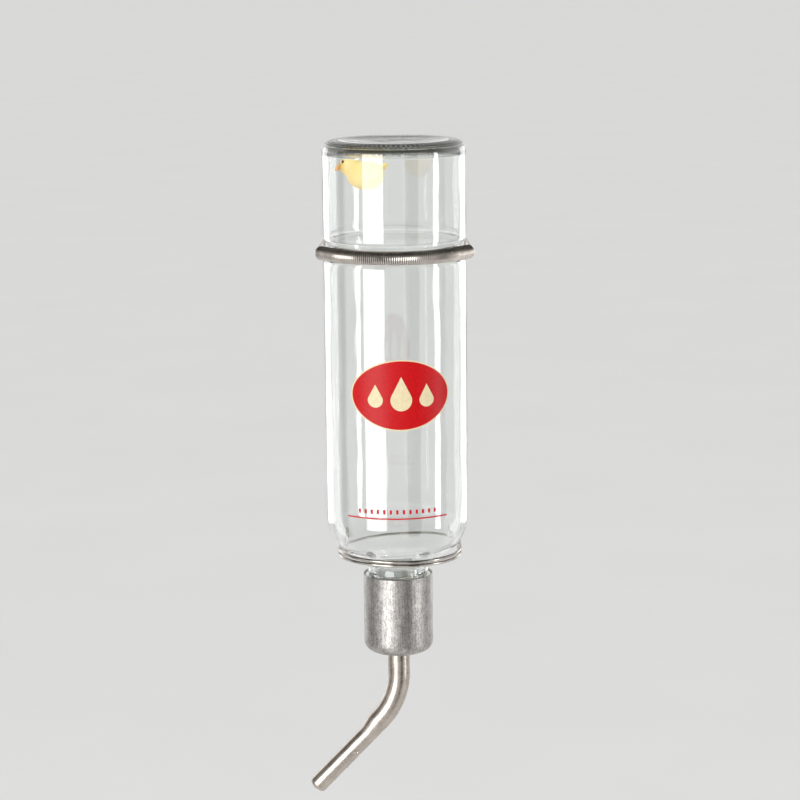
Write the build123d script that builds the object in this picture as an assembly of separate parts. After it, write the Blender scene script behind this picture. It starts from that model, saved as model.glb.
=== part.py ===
from build123d import *
from math import cos, radians, sin, sqrt, tan
import os

# Glass water bottle for a small-animal cage, hung neck down in front of the cage wires.
# Millimetres. +Z is up along the bottle's axis, the cage is behind at +Y and the front faces -Y.
# The origin is midway between the ring hanger's two hooks, on the centreline of the cage wire
# that they hang on.

# ---- cage and bottle axis ----
CAGE_WIRE_R = 1.5
AXIS_X = -0.9
AXIS_Y = -34.0

# ---- glass ----
BOTTLE_R = 29.0
BASE_Z = 170.7
BASE_RING_OUTER_R = 24.7
BASE_RING_INNER_R = 22.2
BASE_DISH = 2.6
WALL = 1.8
RING_THICKNESS = 2.6
INNER_DOME = 2.3
INNER_HEEL_R = 3.6
GROOVE_Z = 127.0
GROOVE_DEPTH = 2.45
GROOVE_LIP_R = 3.0
GROOVE_BED_R = 4.6
SHOULDER_Z = 17.8
SHOULDER_R = 20.0
NECK_R = 12.4
NECK_FILLET_R = 2.5
NECK_COLLAR_Z = -6.4
NECK_BORE_R = 8.8
MOUTH_Z = -24.0
MOUTH_LIP_R = 0.8

# ---- screw thread of the neck and the cap ----
THREAD_PITCH = 3.175
NECK_ROOT_R = 10.85
NECK_CREST_R = 11.9
INSERT_WALL_R = 12.15
INSERT_CREST_R = 11.15
THREAD_TURNS = 1.6
NECK_THREAD_Z = -20.6
THREAD_OVERLAP = 0.3

# ---- printed marks on the glass ----
PRINT_GAP = 0.03
PRINT_THICKNESS = 0.08
BADGE_Z = 71.9
BADGE_HEIGHT = 28.5
BADGE_HALF_ANGLE = 42.0
BADGE_TURN = 4.0
BADGE_BORDER = 0.45
DROP_R = 4.3
SIDE_DROP_R = 2.9
DROP_SPACING = 10.2
DROP_Z = 69.9
DROP_POINT_HALF_ANGLE = 27.0
FILL_LINE_Z = 21.8
FILL_LINE_HEIGHT = 0.55
FILL_HALF_ANGLE = 43.0
DASH_COUNT = 13
DASH_Z = 24.6
DASH_HEIGHT = 1.7
DASH_HALF_ANGLE = 0.9
DASH_SPREAD = 31.0

# ---- cap ----
CAP_R = 14.2
CAP_TOP_Z = -7.2
CAP_BOTTOM_Z = -40.1
CAP_WALL = 0.6
CAP_CORNER_R = 4.5
CAP_HOLE_R = 4.8
INSERT_R = 13.45
INSERT_TOP_Z = -8.0
INSERT_BOTTOM_Z = -28.5
FLANGE_R = 6.5
FLANGE_THICKNESS = 0.7
GASKET_THICKNESS = 1.65
SEAT_GAP = 0.05
BUSH_R = 13.3

# ---- sipper tube ----
TUBE_R = 4.525
TUBE_WALL = 0.7
TUBE_FIT = 0.08
BEND_Z = -61.7
BEND_DEG = 44.0
BEND_R = 29.5
LEG_LENGTH = 51.2
LEG_R = 3.825
NECKING_START = 12.4
NECKING_LENGTH = 8.6
NECKING_SECTIONS = 8
TIP_CRIMP = 1.9
TIP_MOUTH_R = 2.45
DIMPLE_FROM_TIP = 23.0
DIMPLE_TURN = 19.0
DIMPLE_R = 1.1
DIMPLE_DEPTH = 0.4

# ---- drip balls ----
BALL_R = 2.95
BALL_GAP = 0.05

# ---- spring ----
SPRING_Z = 126.6
COIL_R = 2.9
COIL_WIRE = 0.8
SPRING_PATH_R = 29.65
WRAP_HALF_ANGLE = 45.0
BEND_END_ANGLE = 53.0
FLEX_STRAIGHT = 4.0
TAIL_LENGTH = 5.8
TAIL_TAPER = 1.8
HOOK_WIRE_R = 0.5
HOOK_INNER_R = 2.75
HOOK_LIP = 3.5
ELBOW_R = 4.0
ELBOW_DEG = 40.0

# ---- ring hanger ----
RING_WIRE_R = 0.65
RING_R = 24.8
RING_Z = 2.2
RING_FRONT_RISE = 0.72
RING_SIDE_RISE = 1.05

# ---- float duck ----
DUCK_X = -10.4
DUCK_Y = 3.0
DUCK_Z = 156.4
DUCK_BODY_R = 7.8
DUCK_BODY_HALF_HEIGHT = 6.3
DUCK_HEAD_R = 4.7
DUCK_HEAD_DX = -6.0
DUCK_HEAD_DZ = 3.9
DUCK_TAIL_R = 2.6
DUCK_TAIL_TIP_R = 0.7
DUCK_TAIL_LENGTH = 5.0
DUCK_TAIL_DX = 6.6
DUCK_TAIL_DZ = 2.6
DUCK_TAIL_TILT = 50.0
EGG_SIDE_SHARE = 0.72
DUCK_BEAK_R = 3.1
DUCK_BEAK_HALF_HEIGHT = 1.7
DUCK_BEAK_TILT = -30.0
DUCK_BEAK_DX = -5.2
DUCK_BEAK_DZ = -0.6


def point(r, z):
    """A point of a turned outline: r from the bottle axis, z up."""
    return Vector(r, 0, z)


def arc(center_r, center_z, radius, start_deg, end_deg):
    """An arc of a turned outline about a centre. 0 degrees points outward, 90 degrees up."""
    angles = (start_deg, (start_deg + end_deg) / 2, end_deg)
    ends = [
        point(center_r + radius * cos(radians(a)), center_z + radius * sin(radians(a)))
        for a in angles
    ]
    return ThreePointArc(*ends)


def turned(edges):
    """Close the gaps between the edges, which run from top to bottom, and turn them about Z."""
    chain = []
    for edge, following in zip(edges, edges[1:] + edges[:1]):
        chain.append(edge)
        if (edge @ 1 - following @ 0).length > 1e-6:
            chain.append(Line(edge @ 1, following @ 0))
    return revolve(make_face(Wire(chain)), Axis.Z)


def placed(solid):
    """Move a piece drawn about Z onto the bottle's axis."""
    return Pos(AXIS_X, AXIS_Y, 0) * solid


# ---------------------------------------------------------------- glass bottle


def groove_edges(radius, lip_r, bed_r):
    """The spring groove in a wall of this radius: lip, bed and lip arcs, tangent to each other."""
    across = lip_r + bed_r
    half_height = sqrt(across**2 - (across - GROOVE_DEPTH) ** 2)
    swing = 90 - Vector(across - GROOVE_DEPTH, half_height, 0).get_angle(Vector(0, 1, 0))
    bed_center = radius - GROOVE_DEPTH + bed_r
    lip_center = radius - lip_r
    return [
        arc(lip_center, GROOVE_Z + half_height, lip_r, 0, -swing),
        arc(bed_center, GROOVE_Z, bed_r, 180 - swing, 180 + swing),
        arc(lip_center, GROOVE_Z - half_height, lip_r, swing, 0),
    ]


def shoulder_edges(shoulder_r, neck_r, fillet_r):
    """The round shoulder and the hollow fillet that leads it into the neck."""
    center_r = BOTTLE_R - SHOULDER_R
    reach = shoulder_r + fillet_r
    fillet_center_r = neck_r + fillet_r
    drop = sqrt(reach**2 - (fillet_center_r - center_r) ** 2)
    turn = Vector(fillet_center_r - center_r, drop, 0).get_angle(Vector(1, 0, 0))
    return [
        arc(center_r, SHOULDER_Z, shoulder_r, 0, -turn),
        arc(fillet_center_r, SHOULDER_Z - drop, fillet_r, 180 - turn, 180),
    ]


def dished(radius, edge_z, depth):
    """A shallow dish that is this deep in the middle and ends at this radius and height."""
    return ThreePointArc(
        point(0, edge_z - depth),
        point(radius / 2, edge_z - 0.75 * depth),
        point(radius, edge_z),
    )


def bottle_outside():
    """The bottle's outer shape, from the base down to the mouth."""
    heel_r = BOTTLE_R - BASE_RING_OUTER_R
    edges = [
        dished(BASE_RING_INNER_R, BASE_Z, BASE_DISH),
        arc(BASE_RING_OUTER_R, BASE_Z - heel_r, heel_r, 90, 0),
    ]
    edges += groove_edges(BOTTLE_R, GROOVE_LIP_R, GROOVE_BED_R)
    edges += shoulder_edges(SHOULDER_R, NECK_R, NECK_FILLET_R)
    step = NECK_R - NECK_ROOT_R
    edges.append(Line(point(NECK_R, NECK_COLLAR_Z), point(NECK_ROOT_R, NECK_COLLAR_Z - step)))
    edges.append(arc(NECK_ROOT_R - MOUTH_LIP_R, MOUTH_Z + MOUTH_LIP_R, MOUTH_LIP_R, 0, -90))
    edges.append(Line(point(NECK_BORE_R, MOUTH_Z), point(0, MOUTH_Z)))
    return turned(edges)


def bottle_inside():
    """The hollow of the bottle, open through the neck."""
    inner_r = BOTTLE_R - WALL
    floor_z = BASE_Z - RING_THICKNESS
    floor_r = inner_r - INNER_HEEL_R
    below_mouth = MOUTH_Z - 1.0
    edges = [
        dished(floor_r, floor_z, INNER_DOME),
        arc(floor_r, floor_z - INNER_HEEL_R, INNER_HEEL_R, 90, 0),
    ]
    edges += groove_edges(inner_r, GROOVE_LIP_R + WALL, GROOVE_BED_R - WALL)
    edges += shoulder_edges(SHOULDER_R - WALL, NECK_BORE_R, NECK_FILLET_R + WALL)
    edges.append(Line(point(NECK_BORE_R, below_mouth), point(0, below_mouth)))
    edges.append(Line(point(0, below_mouth), point(0, floor_z - INNER_DOME)))
    return turned(edges)


def thread_ridge(root_r, crest_r, root_width, crest_width, start_z, turns):
    """A right-hand screw ridge. It stands out when crest_r is the larger radius, else inward."""
    path = Helix(THREAD_PITCH, THREAD_PITCH * turns, root_r)
    outward = 1 if crest_r > root_r else -1
    sunk = root_r - outward * THREAD_OVERLAP
    outline = Polyline(
        (sunk, 0, -root_width / 2),
        (crest_r, 0, -crest_width / 2),
        (crest_r, 0, crest_width / 2),
        (sunk, 0, root_width / 2),
        close=True,
    )
    ridge = sweep(make_face(outline), path=path, is_frenet=True)
    return Pos(0, 0, start_z) * ridge


def glass_bottle():
    """Clear bottle with a thick base, a groove for the spring and a screw neck."""
    ridge = thread_ridge(NECK_ROOT_R, NECK_CREST_R, 1.8, 0.9, NECK_THREAD_Z, THREAD_TURNS)
    glass = bottle_outside() - bottle_inside()
    return placed(glass + ridge)


# ---------------------------------------------------------------- printed marks


def print_skin():
    """A thin round shell just off the glass, from which the marks are cut."""
    inner_r = BOTTLE_R + PRINT_GAP
    outer_r = inner_r + PRINT_THICKNESS
    tall = 2 * BADGE_Z
    shell = Cylinder(outer_r, tall) - Cylinder(inner_r, 2 * tall)
    return Pos(0, 0, BADGE_Z) * shell


def front_block(outline, turn_deg):
    """A block with this outline, in (across, up), that runs forward from the bottle's axis."""
    block = extrude(Plane.XZ * outline, amount=2 * BOTTLE_R)
    return Rot(0, 0, turn_deg) * block


def badge_outline(inset):
    """The badge's oval, smaller by the inset all round."""
    half_width = BOTTLE_R * sin(radians(BADGE_HALF_ANGLE)) - inset
    return Pos(0, BADGE_Z) * Ellipse(half_width, BADGE_HEIGHT / 2 - inset)


def drop_outline(across, radius):
    """A water drop that points up."""
    tangent_deg = 90 - DROP_POINT_HALF_ANGLE
    side = radius * sin(radians(tangent_deg))
    up = radius * cos(radians(tangent_deg))
    apex = radius / sin(radians(DROP_POINT_HALF_ANGLE))
    top = make_face(Polyline((-side, up), (0, apex), (side, up), close=True))
    return Pos(across, DROP_Z) * (Circle(radius) + top)


def drop_outlines():
    """A row of three plain drops, the middle one larger."""
    return [
        drop_outline(-DROP_SPACING, SIDE_DROP_R),
        drop_outline(0, DROP_R),
        drop_outline(DROP_SPACING, SIDE_DROP_R),
    ]


def badge_print(outline):
    """Ink in this outline on the front of the glass."""
    return placed(print_skin() & front_block(outline, BADGE_TURN))


def badge_field_print():
    """The badge's coloured oval field, left open under the drops."""
    return badge_print(badge_outline(BADGE_BORDER) - drop_outlines())


def badge_cream_print():
    """The badge's pale ink: a line round its edge and the drops."""
    border = badge_outline(0) - badge_outline(BADGE_BORDER)
    prints = [badge_print(outline) for outline in [border] + drop_outlines()]
    return Compound([solid for ink in prints for solid in ink.solids()])


def mark(angle_deg, half_angle, height, z):
    """A printed mark on the front, turned by this angle towards +X."""
    width = 2 * BOTTLE_R * sin(radians(half_angle))
    return print_skin() & front_block(Pos(0, z) * Rectangle(width, height), angle_deg)


def fill_line_print():
    """The fill line, with a row of plain dashes above it."""
    marks = [mark(0, FILL_HALF_ANGLE, FILL_LINE_HEIGHT, FILL_LINE_Z)]
    for index in range(DASH_COUNT):
        angle = DASH_SPREAD * (2 * index / (DASH_COUNT - 1) - 1)
        marks.append(mark(angle, DASH_HALF_ANGLE, DASH_HEIGHT, DASH_Z))
    return Compound([solid for piece in marks for solid in placed(piece).solids()])


# ---------------------------------------------------------------- cap


def cap_shell():
    """Drawn steel cup with a round bottom edge and a hole for the tube."""
    corner_z = CAP_BOTTOM_Z + CAP_CORNER_R
    inner_r = CAP_R - CAP_WALL
    lip_z = CAP_TOP_Z - CAP_WALL / 2
    return placed(
        turned(
            [
                arc(CAP_R - CAP_WALL / 2, lip_z, CAP_WALL / 2, 180, 0),
                arc(CAP_R - CAP_CORNER_R, corner_z, CAP_CORNER_R, 0, -90),
                Line(point(CAP_HOLE_R, CAP_BOTTOM_Z), point(CAP_HOLE_R, CAP_BOTTOM_Z + CAP_WALL)),
                arc(CAP_R - CAP_CORNER_R, corner_z, CAP_CORNER_R - CAP_WALL, -90, 0),
                Line(point(inner_r, lip_z - 1), point(inner_r, lip_z)),
            ]
        )
    )


def cap_thread_insert():
    """Moulded liner with the cap's screw thread and a seat for the tube's flange."""
    floor_z = MOUTH_Z - GASKET_THICKNESS - 3 * SEAT_GAP
    seat_z = floor_z - FLANGE_THICKNESS - 2 * SEAT_GAP
    height = INSERT_TOP_Z - INSERT_BOTTOM_Z
    body = Pos(0, 0, INSERT_BOTTOM_Z + height / 2) * Cylinder(INSERT_R, height)
    body -= Pos(0, 0, floor_z + height / 2) * Cylinder(INSERT_WALL_R, height)
    body -= Pos(0, 0, seat_z + height / 2) * Cylinder(FLANGE_R + 0.3, height)
    body -= Cylinder(TUBE_R + TUBE_FIT, 4 * height)
    ridge_z = NECK_THREAD_Z + THREAD_PITCH / 2
    ridge = thread_ridge(INSERT_WALL_R, INSERT_CREST_R, 1.5, 0.8, ridge_z, THREAD_TURNS)
    return placed(body + ridge)


def neck_gasket():
    """Rubber ring between the bottle's mouth and the cap, over the tube's flange."""
    middle_z = MOUTH_Z - SEAT_GAP - GASKET_THICKNESS / 2
    ring = Cylinder(INSERT_WALL_R - 0.3, GASKET_THICKNESS)
    ring -= Cylinder(TUBE_R, 2 * GASKET_THICKNESS)
    return placed(Pos(0, 0, middle_z) * ring)


def tube_bush():
    """Rubber bush that fills the bottom of the shell and steadies the tube."""
    corner_r = CAP_CORNER_R - CAP_WALL
    bottom_z = CAP_BOTTOM_Z + CAP_WALL + SEAT_GAP
    top_z = INSERT_BOTTOM_Z - SEAT_GAP
    bore_r = TUBE_R + TUBE_FIT
    return placed(
        turned(
            [
                Line(point(bore_r, top_z), point(BUSH_R, top_z)),
                arc(BUSH_R - corner_r, bottom_z + corner_r, corner_r, 0, -90),
                Line(point(bore_r, bottom_z), point(bore_r, top_z - 1)),
            ]
        )
    )


# ---------------------------------------------------------------- sipper tube and balls

LEG_DIRECTION = Vector(-sin(radians(BEND_DEG)), 0, -cos(radians(BEND_DEG)))
LEG_SIDE = Vector(cos(radians(BEND_DEG)), 0, -sin(radians(BEND_DEG)))
BEND_POINT = Vector(0, 0, BEND_Z)
BEND_TANGENT = BEND_R * tan(radians(BEND_DEG / 2))
LEG_OFFSET = TUBE_R - LEG_R


def leg_plane(distance, offset=0.0):
    """A plane across the lower leg, this far from the corner of the bend."""
    origin = BEND_POINT + LEG_DIRECTION * distance + LEG_SIDE * offset
    return Plane(origin=origin, x_dir=(0, 1, 0), z_dir=LEG_DIRECTION)


def necking(radius_drop):
    """The stretch where the tube is drawn down, on the inner side of the bend only."""
    sections = []
    for index in range(NECKING_SECTIONS):
        along = index / (NECKING_SECTIONS - 1)
        share = (1 - cos(radians(180 * along))) / 2
        plane = leg_plane(NECKING_START + along * NECKING_LENGTH, LEG_OFFSET * share)
        sections.append(plane * Circle(TUBE_R - radius_drop - LEG_OFFSET * share))
    return loft(sections)


def tip(radius_drop, mouth_r, length):
    """The lower leg below the drawn-down stretch, closed in to the mouth at its tip."""
    radius = LEG_R - radius_drop
    start = NECKING_START + NECKING_LENGTH
    run = length - start
    crimp = TIP_CRIMP - radius_drop
    shrink = radius - mouth_r
    shape = turned(
        [
            Line(point(0, 0), point(radius, 0)),
            ThreePointArc(
                point(radius, run - crimp),
                point(radius - 0.3 * shrink, run - 0.3 * crimp),
                point(mouth_r, run),
            ),
            Line(point(0, run), point(0, run - 1)),
        ]
    )
    return leg_plane(start, LEG_OFFSET).location * shape


def tube_core(radius_drop, top_z, tip_mouth_r, leg_length):
    """The tube as a solid bar, smaller by the drop. The bore is made the same way."""
    radius = TUBE_R - radius_drop
    bend_top = BEND_Z + BEND_TANGENT
    straight = Pos(0, 0, bend_top) * extrude(Circle(radius), amount=top_z - bend_top)
    bend_axis = Axis((-BEND_R, 0, bend_top), (0, 1, 0))
    bend = revolve(Pos(0, 0, bend_top) * Circle(radius), bend_axis, revolution_arc=BEND_DEG)
    run = extrude(leg_plane(BEND_TANGENT) * Circle(radius), amount=NECKING_START - BEND_TANGENT)
    bar = straight + bend + run + necking(radius_drop)
    return bar + tip(radius_drop, tip_mouth_r, leg_length)


def sipper_tube():
    """Bent steel tube, flanged inside the cap and closed in round the ball at its tip."""
    flange_top = MOUTH_Z - GASKET_THICKNESS - 3 * SEAT_GAP
    flange = Pos(0, 0, flange_top - FLANGE_THICKNESS / 2) * Cylinder(FLANGE_R, FLANGE_THICKNESS)
    outside = tube_core(0, flange_top, TIP_MOUTH_R + 0.35, LEG_LENGTH)
    bore = tube_core(TUBE_WALL, flange_top + 1, TIP_MOUTH_R, LEG_LENGTH)
    mouth = leg_plane(LEG_LENGTH, LEG_OFFSET) * Circle(TIP_MOUTH_R)
    tube = outside + flange - bore - extrude(mouth, amount=1, both=True)
    dimple_center = leg_plane(LEG_LENGTH - DIMPLE_FROM_TIP, LEG_OFFSET).origin
    turn = radians(DIMPLE_TURN)
    outward = Vector(0, -cos(turn), 0) + LEG_SIDE * sin(turn)
    boss = Pos(dimple_center + outward * (LEG_R - DIMPLE_DEPTH)) * Sphere(DIMPLE_R)
    hollow = Pos(dimple_center + outward * (LEG_R + DIMPLE_R - DIMPLE_DEPTH)) * Sphere(DIMPLE_R)
    return placed(tube + (boss & outside) - hollow)


def drip_ball(index):
    """A loose steel ball in the tip. Ball 0 shuts the mouth and ball 1 rests on it."""
    inset = sqrt(BALL_R**2 - TIP_MOUTH_R**2) + 0.15
    distance = LEG_LENGTH - inset - index * (2 * BALL_R + BALL_GAP)
    return placed(Pos(leg_plane(distance, LEG_OFFSET).origin) * Sphere(BALL_R))


# ---------------------------------------------------------------- spring

COIL_BORE_R = COIL_R - COIL_WIRE
HOOK_BACK_Y = CAGE_WIRE_R - HOOK_INNER_R


def spring_point(angle_deg):
    """A point of the spring's centreline, at this angle from the front towards +X."""
    angle = radians(angle_deg)
    return Vector(SPRING_PATH_R * sin(angle), -SPRING_PATH_R * cos(angle), SPRING_Z)


def coil_tube(path):
    """The close-wound coil along a path, as a tube with the coil's inner and outer size."""
    plane = Plane(origin=path @ 0, z_dir=path % 0)
    solid = sweep(plane * Circle(COIL_R), path=path)
    return solid - sweep(plane * Circle(COIL_BORE_R), path=path)


def spring_wrap():
    """The part of the spring that lies in the groove across the front."""
    path = ThreePointArc(
        spring_point(-WRAP_HALF_ANGLE), spring_point(0), spring_point(WRAP_HALF_ANGLE)
    )
    return placed(coil_tube(path))


def tail_line(start, end):
    """The straight line of the spring's right tail, between two distances from the flex."""
    direction = Vector(cos(radians(BEND_END_ANGLE)), sin(radians(BEND_END_ANGLE)), 0)
    root = spring_point(BEND_END_ANGLE)
    return Line(root + direction * start, root + direction * end)


def spring_flex():
    """The right-hand stretch of coil that bends when the spring's end is swung out."""
    middle = (WRAP_HALF_ANGLE + BEND_END_ANGLE) / 2
    bend = ThreePointArc(
        spring_point(WRAP_HALF_ANGLE), spring_point(middle), spring_point(BEND_END_ANGLE)
    )
    return placed(coil_tube(bend) + coil_tube(tail_line(0, FLEX_STRAIGHT)))


def spring_tail():
    """The right-hand straight end of the coil, closing in to the hook's wire."""
    line = tail_line(FLEX_STRAIGHT, FLEX_STRAIGHT + TAIL_LENGTH)
    plane = Plane(origin=line @ 1, z_dir=line % 1)
    cone = plane * (Pos(0, 0, TAIL_TAPER / 2) * Cone(COIL_R, HOOK_WIRE_R, TAIL_TAPER))
    return placed(coil_tube(line) + cone)


def bent_wire(edges, radius):
    """A round wire along edges that run on from each other without a corner."""
    path = Wire(edges)
    plane = Plane(origin=path @ 0, z_dir=path % 0)
    return sweep(plane * Circle(radius), path=path)


def cage_hook(shank, wire_r):
    """The end of a wire: round behind a cage wire in a half circle, and a lip back under it."""
    direction = shank % 1
    top = shank @ 1
    bottom = top - Vector(0, 0, 2 * (HOOK_INNER_R + wire_r))
    return [
        TangentArc(top, bottom, tangent=direction),
        Line(bottom, bottom - direction * HOOK_LIP),
    ]


def spring_hook():
    """The right-hand hook of the spring, from the coil's end back to the cage wire."""
    line = tail_line(0, FLEX_STRAIGHT + TAIL_LENGTH + TAIL_TAPER)
    elbow = JernArc(line @ 1, line % 1, ELBOW_R, ELBOW_DEG)
    reach = (HOOK_BACK_Y - AXIS_Y - (elbow @ 1).Y) / (elbow % 1).Y
    shank = Line(elbow @ 1, elbow @ 1 + (elbow % 1) * reach)
    return placed(bent_wire([elbow, shank] + cage_hook(shank, HOOK_WIRE_R), HOOK_WIRE_R))


def mirrored(solid):
    """The left-hand twin of a right-hand piece, across the bottle's middle plane."""
    return mirror(solid, about=Plane.YZ.offset(AXIS_X))


# ---------------------------------------------------------------- ring hanger


def ring_leg(side, pass_z):
    """A leg from the ring's side back to the cage, with an easy set to the hooks' height."""
    shank_z = CAGE_WIRE_R + RING_WIRE_R
    root = Vector(side * RING_R, AXIS_Y, pass_z)
    end = Vector(side * RING_R, HOOK_BACK_Y, shank_z)
    first = TangentArc(root, (root + end) / 2, tangent=(0, 1, 0))
    return [first, TangentArc(first @ 1, end, tangent=first % 1)]


def reversed_edges(edges):
    """The same run of edges, followed the other way."""
    return [edge.reversed() for edge in reversed(edges)]


def ring_hanger():
    """One wire: hook, leg, twice across the front and once round the back, leg, hook."""
    side_high = RING_Z + RING_SIDE_RISE
    side_low = RING_Z - RING_SIDE_RISE
    right_leg = ring_leg(1, side_low)
    left_leg = ring_leg(-1, side_high)
    right_end = right_leg + cage_hook(right_leg[-1], RING_WIRE_R)
    left_end = left_leg + cage_hook(left_leg[-1], RING_WIRE_R)
    turns = [
        (-RING_R, AXIS_Y, side_high),
        (0, AXIS_Y - RING_R, RING_Z + RING_FRONT_RISE),
        (RING_R, AXIS_Y, side_high),
        (0, AXIS_Y + RING_R, RING_Z),
        (-RING_R, AXIS_Y, side_low),
        (0, AXIS_Y - RING_R, RING_Z - RING_FRONT_RISE),
        (RING_R, AXIS_Y, side_low),
    ]
    ring = []
    direction = Vector(0, -1, 0)
    for start, end in zip(turns, turns[1:]):
        ring.append(TangentArc(start, end, tangent=direction))
        direction = ring[-1] % 1
    return bent_wire(reversed_edges(left_end) + ring + right_end, RING_WIRE_R)


# ---------------------------------------------------------------- float duck


def egg(radius, half_height):
    """A flattened ball about Z, from a small arc round its side and a large one on each face."""
    side_r = EGG_SIDE_SHARE * half_height
    side_center = radius - side_r
    face_r = (side_center**2 + half_height**2 - side_r**2) / (2 * (half_height - side_r))
    meet = Vector(side_center, face_r - half_height, 0).get_angle(Vector(1, 0, 0))
    return turned(
        [
            arc(0, half_height - face_r, face_r, 90, meet),
            arc(side_center, 0, side_r, meet, -meet),
            arc(0, face_r - half_height, face_r, -meet, -90),
        ]
    )


def duck_at(dx, dz):
    """A place measured from the middle of the duck's body. The duck faces -X."""
    return Pos(DUCK_X + dx, DUCK_Y, DUCK_Z + dz)


def duck_body():
    """Body, head and tail of the float, in one moulding."""
    body = duck_at(0, 0) * egg(DUCK_BODY_R, DUCK_BODY_HALF_HEIGHT)
    head = duck_at(DUCK_HEAD_DX, DUCK_HEAD_DZ) * Sphere(DUCK_HEAD_R)
    tail = Cone(DUCK_TAIL_R, DUCK_TAIL_TIP_R, DUCK_TAIL_LENGTH)
    tail = duck_at(DUCK_TAIL_DX, DUCK_TAIL_DZ) * Rot(0, DUCK_TAIL_TILT, 0) * tail
    return placed(body + head + tail)


def duck_beak():
    """Flat beak, set on the head."""
    beak = Rot(0, DUCK_BEAK_TILT, 0) * egg(DUCK_BEAK_R, DUCK_BEAK_HALF_HEIGHT)
    beak = duck_at(DUCK_HEAD_DX + DUCK_BEAK_DX, DUCK_HEAD_DZ + DUCK_BEAK_DZ) * beak
    head = duck_at(DUCK_HEAD_DX, DUCK_HEAD_DZ) * Sphere(DUCK_HEAD_R + SEAT_GAP / 5)
    return placed(beak - head)


# ---------------------------------------------------------------- output

PARTS = {
    "glass_bottle": glass_bottle,
    "badge_field_print": badge_field_print,
    "badge_cream_print": badge_cream_print,
    "fill_line_print": fill_line_print,
    "neck_gasket": neck_gasket,
    "cap_shell": cap_shell,
    "cap_thread_insert": cap_thread_insert,
    "tube_bush": tube_bush,
    "sipper_tube": sipper_tube,
    "tip_ball": lambda: drip_ball(0),
    "upper_ball": lambda: drip_ball(1),
    "spring_wrap": spring_wrap,
    "spring_flex_right": spring_flex,
    "spring_flex_left": lambda: mirrored(spring_flex()),
    "spring_tail_right": spring_tail,
    "spring_tail_left": lambda: mirrored(spring_tail()),
    "spring_hook_right": spring_hook,
    "spring_hook_left": lambda: mirrored(spring_hook()),
    "ring_hanger": ring_hanger,
    "duck_body": duck_body,
    "duck_beak": duck_beak,
}

os.makedirs("parts", exist_ok=True)
for name, make in PARTS.items():
    export_step(make(), f"parts/{name}.step")
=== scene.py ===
from math import atan2, cos, degrees, floor, hypot, pi, radians, sin, sqrt

import bmesh
import bpy
from mathutils import Matrix, Vector


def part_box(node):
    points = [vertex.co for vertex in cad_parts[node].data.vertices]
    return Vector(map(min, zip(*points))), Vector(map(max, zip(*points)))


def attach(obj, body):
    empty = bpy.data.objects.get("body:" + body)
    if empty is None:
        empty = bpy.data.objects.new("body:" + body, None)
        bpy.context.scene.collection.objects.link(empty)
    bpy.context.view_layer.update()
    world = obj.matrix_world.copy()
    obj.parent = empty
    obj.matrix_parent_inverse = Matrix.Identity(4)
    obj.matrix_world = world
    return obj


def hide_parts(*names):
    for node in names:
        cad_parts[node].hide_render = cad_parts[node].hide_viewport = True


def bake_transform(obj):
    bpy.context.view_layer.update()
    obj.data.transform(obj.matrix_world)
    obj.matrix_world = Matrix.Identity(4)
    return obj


# A glass water bottle for rabbits, hung upside down. The glass, the wound spring and the duck are
# drawn here. Every other piece keeps its CAD shape and gets a detailed material.

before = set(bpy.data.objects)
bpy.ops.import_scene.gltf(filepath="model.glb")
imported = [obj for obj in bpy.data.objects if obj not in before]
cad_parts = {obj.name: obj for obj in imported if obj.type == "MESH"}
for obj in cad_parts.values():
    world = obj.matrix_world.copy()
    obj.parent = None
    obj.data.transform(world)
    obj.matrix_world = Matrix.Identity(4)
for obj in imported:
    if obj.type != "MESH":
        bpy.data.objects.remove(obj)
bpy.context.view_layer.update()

# Lengths are in metres. MM turns a size in millimetres into metres.
MM = 0.001
UP = Vector((0, 0, 1))
SHARP_DEG = 35


def mm(x, y, z):
    """A step, or three half sizes, given in millimetres."""
    return Vector((x * MM, y * MM, z * MM))


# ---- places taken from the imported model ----
GLASS_LOW, GLASS_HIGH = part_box("glass_bottle")
AXIS = Vector(((GLASS_LOW.x + GLASS_HIGH.x) / 2, (GLASS_LOW.y + GLASS_HIGH.y) / 2, 0))
BOTTLE_R = (GLASS_HIGH.x - GLASS_LOW.x) / 2
BASE_Z = GLASS_HIGH.z
MOUTH_Z = GLASS_LOW.z
WRAP_LOW, WRAP_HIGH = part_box("spring_wrap")
SPRING_Z = (WRAP_LOW.z + WRAP_HIGH.z) / 2
COIL_R = (WRAP_HIGH.z - WRAP_LOW.z) / 2
SPRING_PATH_R = AXIS.y - WRAP_LOW.y - COIL_R
BODY_LOW, BODY_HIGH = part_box("duck_body")
BEAK_LOW, BEAK_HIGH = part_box("duck_beak")
TIP_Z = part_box("sipper_tube")[0].z

# ---- glass ----
RING_OUTER_R = 24.7 * MM
RING_INNER_R = 22.2 * MM
HEEL_R = BOTTLE_R - RING_OUTER_R
HEEL_Z = BASE_Z - HEEL_R
BASE_DISH = 2.6 * MM
WALL = 1.8 * MM
RING_THICKNESS = 2.6 * MM
INNER_DOME = 2.3 * MM
INNER_HEEL_R = 3.6 * MM
GROOVE_Z = 127.0 * MM
GROOVE_DEPTH = 2.45 * MM
GROOVE_LIP_R = 3.0 * MM
GROOVE_BED_R = 4.6 * MM
SHOULDER_Z = 17.8 * MM
SHOULDER_R = 20.0 * MM
NECK_R = 12.4 * MM
NECK_FILLET_R = 2.5 * MM
COLLAR_Z = -6.4 * MM
NECK_BORE_R = 8.8 * MM
MOUTH_LIP_R = 0.8 * MM
THREAD_PITCH = 3.175 * MM
THREAD_TURNS = 1.6
THREAD_START_Z = -20.6 * MM
THREAD_ROOT_R = 10.85 * MM
THREAD_CREST_R = 11.9 * MM
THREAD_ROOT_HALF = 0.9 * MM
THREAD_CREST_HALF = 0.45 * MM
STIPPLE_COUNT = 84
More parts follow.
